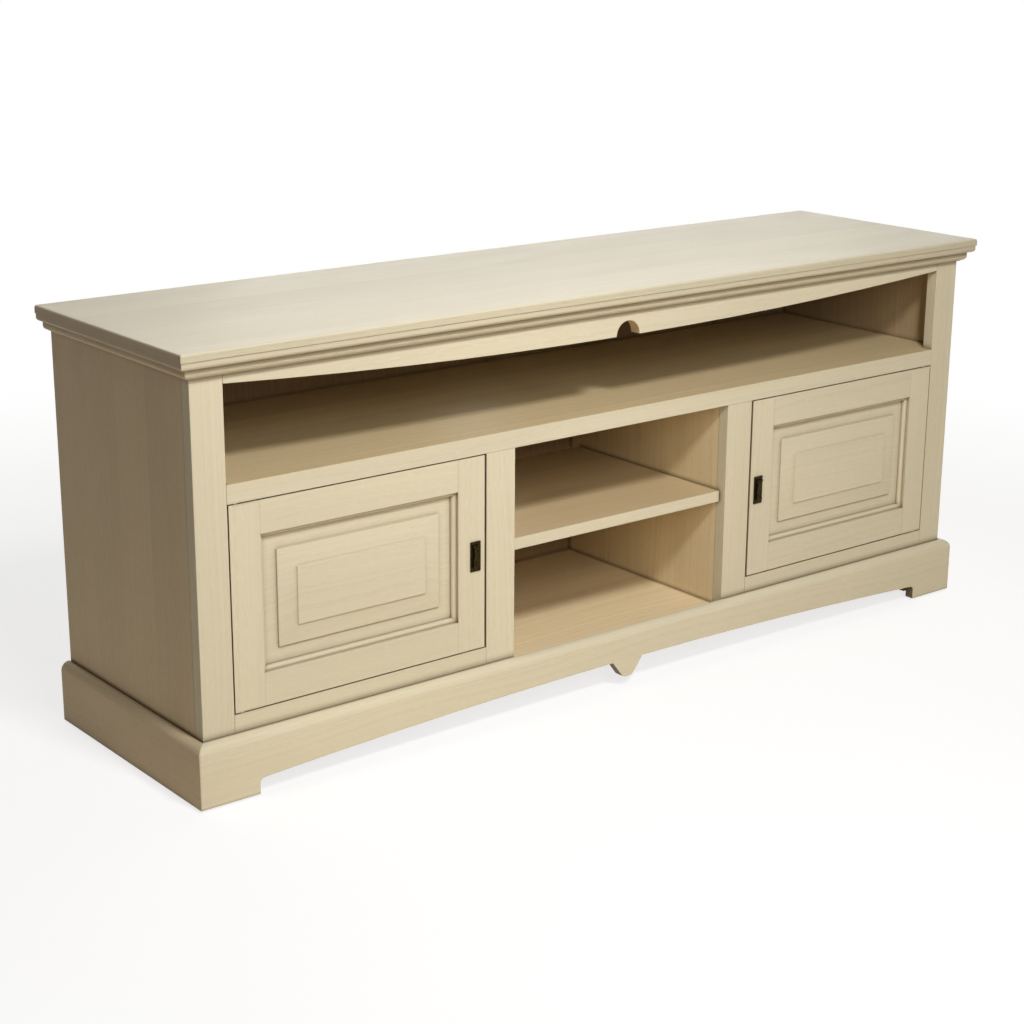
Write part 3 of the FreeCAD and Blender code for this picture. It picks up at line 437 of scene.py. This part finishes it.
def metal(name, colours, scale, roughness, depth):
    """Metal with mottled colour and roughness and a fine uneven surface."""
    material, tree, shader = new_material(name)
    place = point(tree)
    coarse = noise(tree, place, (scale,) * 3, detail=3.0)
    fine = noise(tree, place, (scale * FINER,) * 3)
    colour = blend(tree, span(tree, coarse, *MOTTLE_RANGE), *colours)
    tree.links.new(colour, shader.inputs["Base Color"])
    tree.links.new(span(tree, fine, *FINE_RANGE, *roughness), shader.inputs["Roughness"])
    height = math_node(tree, "ADD", coarse, math_node(tree, "MULTIPLY", fine, FINE_SHARE))
    bump(tree, shader, height, METAL_BUMP, depth)
    shader.inputs["Metallic"].default_value = 1.0
    return material


def plastic(name, colours, scale):
    """Moulded plastic with a fine spark-eroded surface."""
    material, tree, shader = new_material(name)
    speckle = noise(tree, point(tree), (scale,) * 3)
    colour = blend(tree, span(tree, speckle, *MOTTLE_RANGE), *colours)
    tree.links.new(colour, shader.inputs["Base Color"])
    roughness = span(tree, speckle, *FINE_RANGE, *PLASTIC_ROUGHNESS)
    tree.links.new(roughness, shader.inputs["Roughness"])
    bump(tree, shader, speckle, PLASTIC_BUMP, PLASTIC_DEPTH)
    return material


def make_cleaner():
    """A geometry group that joins the faces of a node into one smooth skin."""
    tree = bpy.data.node_groups.new("one_skin", "GeometryNodeTree")
    tree.interface.new_socket("Geometry", in_out="INPUT", socket_type="NodeSocketGeometry")
    tree.interface.new_socket("Geometry", in_out="OUTPUT", socket_type="NodeSocketGeometry")
    skin = tree.nodes.new("NodeGroupInput").outputs[0]
    end = tree.nodes.new("NodeGroupOutput")
    join_inputs = {"Geometry": skin, "Distance": JOIN_DISTANCE}
    skin = add(tree, "GeometryNodeMergeByDistance", join_inputs).outputs[0]
    for layer in ("custom_normal", "sharp_edge", "sharp_face"):
        skin = add(tree, "GeometryNodeRemoveAttribute", {"Geometry": skin, "Name": layer}).outputs[0]
    tree.links.new(skin, end.inputs[0])
    return tree


def dress(node, material, ease):
    """Gives a node its material and rounds its sharp edges by a small width."""
    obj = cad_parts[node]
    for slot in obj.material_slots:
        slot.material = material
    obj.modifiers.new("one_skin", "NODES").node_group = CLEANER
    flat = obj.modifiers.new("whole_faces", "DECIMATE")
    flat.decimate_type = "DISSOLVE"
    flat.angle_limit = math.radians(FLAT_ANGLE)
    bevel = obj.modifiers.new("eased_edges", "BEVEL")
    bevel.width = ease
    bevel.segments = EASE_SEGMENTS
    bevel.limit_method = "ANGLE"
    bevel.angle_limit = math.radians(SHARP_ANGLE)
    obj.modifiers.new("even_normals", "WEIGHTED_NORMAL").keep_sharp = False


def dress_limed_board(node, grain):
    """Dresses a board that is limed all over."""
    # End boards get the browner lime: painted shade of the cabinet's ends
    growth = SHADED_SIDE_LIMED if grain == "Y" else LIMED
    # The front cornice gets darker lime: painted shade under the top's nose
    if node == "cornice_front":
        growth = SHADED_CORNICE_LIMED
    reach = CORNICE_SHADE_REACH if node.startswith("cornice") else BOARD_SHADE_REACH
    ease = PANEL_EASE if node.endswith("_panel") else BOARD_EASE
    dress(node, oak(f"limed_oak.{node}", node, grain, growth, limed=True, shade_reach=reach), ease)


def dress_wood():
    """Dresses every board. Their order sets what each draws from SAWING."""
    for grain, nodes in LIMED_BOARDS.items():
        for node in nodes:
            dress_limed_board(node, grain)
    for grain, nodes in INNER_BOARDS.items():
        for node in nodes:
            dress(node, oak(f"inner_oak.{node}", node, grain, INNER), INNER_EASE)
    # Painted light on the top's upward faces; painted shade on its ends and in the darker nose colour
    top_coats = [(TOP_FACE, LIT_TOP_LIMED), (TOP_ENDS, SHADED_END_LIMED)]
    top = oak("limed_oak.top_board", "top_board", "X", SHADED_NOSE, stave=STAVES, coats=top_coats,
              gloss=TOP_GLOSS, shade_reach=TOP_SHADE_REACH)
    dress("top_board", top, BOARD_EASE)
    dress("upper_shelf", oak("inner_oak.upper_shelf", "upper_shelf", "X", INNER, stave=STAVES), INNER_EASE)
    # Centre bay boards in the lighter colour: painted light
    for node, grain in BAY_BOARDS.items():
        dress(node, oak(f"inner_oak.{node}", node, grain, LIT_BAY, stave=STAVES), INNER_EASE)
    # Back panel: dark brown plywood, made darker as painted shade of the deep compartment
    dress("back_panel", oak("oak_plywood", "back_panel", "Z", BACK, stave=LEAVES), INNER_EASE)
    for node, (grain, stave, growth, faces, lime) in PART_LIMED.items():
        finish = oak(f"limed_oak.{node}", node, grain, growth, stave=stave, coats=[(faces, lime)])
        dress(node, finish, BOARD_EASE)


def dress_hardware():
    """Dresses the pulls, hinges, screws, pins, catches and glides."""
    iron_nodes = []
    zinc_nodes = list(ZINC_NODES)
    for side in SIDES:
        iron_nodes += [f"pull_tongue_{side}", f"door_{side}_pull_plate", f"door_{side}_pull_pin"]
        zinc_nodes += [f"door_{side}_{part}" for part in DOOR_ZINC]
    finishes = (
        (metal("black_iron", *BLACK_IRON), iron_nodes),
        (metal("zinc_steel", *ZINC_STEEL), zinc_nodes),
        (plastic("dark_plastic", *DARK_PLASTIC), PLASTIC_NODES),
    )
    for material, nodes in finishes:
        for node in nodes:
            dress(node, material, METAL_EASE)


def seen(tree):
    """1 for rays from the camera and for rays off or through gloss, else 0."""
    path = add(tree, "ShaderNodeLightPath").outputs
    gloss = math_node(tree, "MAXIMUM", path["Is Glossy Ray"], path["Is Transmission Ray"])
    return math_node(tree, "MAXIMUM", path["Is Camera Ray"], gloss)


def make_floor():
    """A plain floor: white where it is seen, with a pale shadow round the object, and a warm bounce."""
    corners = [(x * FLOOR_HALF, y * FLOOR_HALF, 0) for x, y in ((-1, -1), (1, -1), (1, 1), (-1, 1))]
    mesh = bpy.data.meshes.new("floor")
    mesh.from_pydata(corners, [], [(0, 1, 2, 3)])
    floor = bpy.data.objects.new("floor", mesh)
    bpy.context.scene.collection.objects.link(floor)
    material, tree, shader = new_material("pale_floor")
    tree.nodes.remove(shader)
    lit = add(tree, "ShaderNodeBsdfDiffuse", {"Color": (FLOOR_LIT, FLOOR_LIT, FLOOR_LIT, 1)})
    glow = add(tree, "ShaderNodeEmission", {"Strength": FLOOR_GLOW})
    near = add(tree, "ShaderNodeAddShader", {0: lit.outputs[0], 1: glow.outputs[0]})
    white = add(tree, "ShaderNodeEmission", {"Strength": WHITE_STRENGTH})
    fade = span(tree, length_node(tree, point(tree)), FADE_START, FADE_END)
    shown = add(tree, "ShaderNodeMixShader", {0: fade, 1: near.outputs[0], 2: white.outputs[0]})
    bounce = add(tree, "ShaderNodeBsdfDiffuse", {"Color": (*FLOOR_BOUNCE, 1)})
    mix_inputs = {0: seen(tree), 1: bounce.outputs[0], 2: shown.outputs[0]}
    mixed = add(tree, "ShaderNodeMixShader", mix_inputs)
    tree.links.new(mixed.outputs[0], tree.nodes["Material Output"].inputs["Surface"])
    mesh.materials.append(material)


def make_world():
    """Even soft light from all round, white behind the object."""
    world = bpy.data.worlds.new("studio")
    bpy.context.scene.world = world
    world.use_nodes = True
    tree = world.node_tree
    fill = tree.nodes["Background"]
    fill.inputs["Color"].default_value = (*WORLD_COLOUR, 1)
    fill.inputs["Strength"].default_value = WORLD_STRENGTH
    white = add(tree, "ShaderNodeBackground", {"Color": (1, 1, 1, 1), "Strength": WHITE_STRENGTH})
    mix_inputs = {0: seen(tree), 1: fill.outputs[0], 2: white.outputs[0]}
    mixed = add(tree, "ShaderNodeMixShader", mix_inputs)
    tree.links.new(mixed.outputs[0], tree.nodes["World Output"].inputs["Surface"])


def make_lamps():
    """Soft rectangular lamps, each turned to its aim."""
    for name, (place, aim, (width, height), power, spread, colour) in LAMPS.items():
        lamp = bpy.data.lights.new(name, "AREA")
        lamp.shape = "RECTANGLE"
        lamp.size = width
        lamp.size_y = height
        lamp.energy = power
        lamp.spread = math.radians(spread)
        lamp.color = colour
        obj = bpy.data.objects.new(name, lamp)
        turn = (Vector(aim) - Vector(place)).to_track_quat("-Z", "Y").to_matrix().to_4x4()
        obj.matrix_world = Matrix.Translation(place) @ turn
        obj.visible_camera = False
        bpy.context.scene.collection.objects.link(obj)


def make_camera():
    """The camera at the photograph's place and angle."""
    yaw, pitch, roll = (math.radians(angle) for angle in (CAMERA_YAW, CAMERA_PITCH, CAMERA_ROLL))
    level_reach = math.cos(pitch)
    forward = Vector((math.sin(yaw) * level_reach, math.cos(yaw) * level_reach, -math.sin(pitch)))
    level = Vector((math.cos(yaw), -math.sin(yaw), 0))
    upright = level.cross(forward)
    right = level * math.cos(roll) + upright * math.sin(roll)
    up = upright * math.cos(roll) - level * math.sin(roll)
    data = bpy.data.cameras.new("camera")
    data.sensor_fit = "HORIZONTAL"
    data.sensor_width = SENSOR_WIDTH
    data.lens = FOCAL_PIXELS * SENSOR_WIDTH / IMAGE_PIXELS
    camera = bpy.data.objects.new("camera", data)
    turn = Matrix((right, up, -forward)).transposed().to_4x4()
    camera.matrix_world = Matrix.Translation(CAMERA_PLACE) @ turn
    bpy.context.scene.collection.objects.link(camera)
    bpy.context.scene.camera = camera


FIGURE = make_figure()
CLEANER = make_cleaner()
make_camera()
dress_wood()
dress_hardware()
make_floor()
make_world()
make_lamps()
bpy.context.scene.view_settings.view_transform = "Standard"
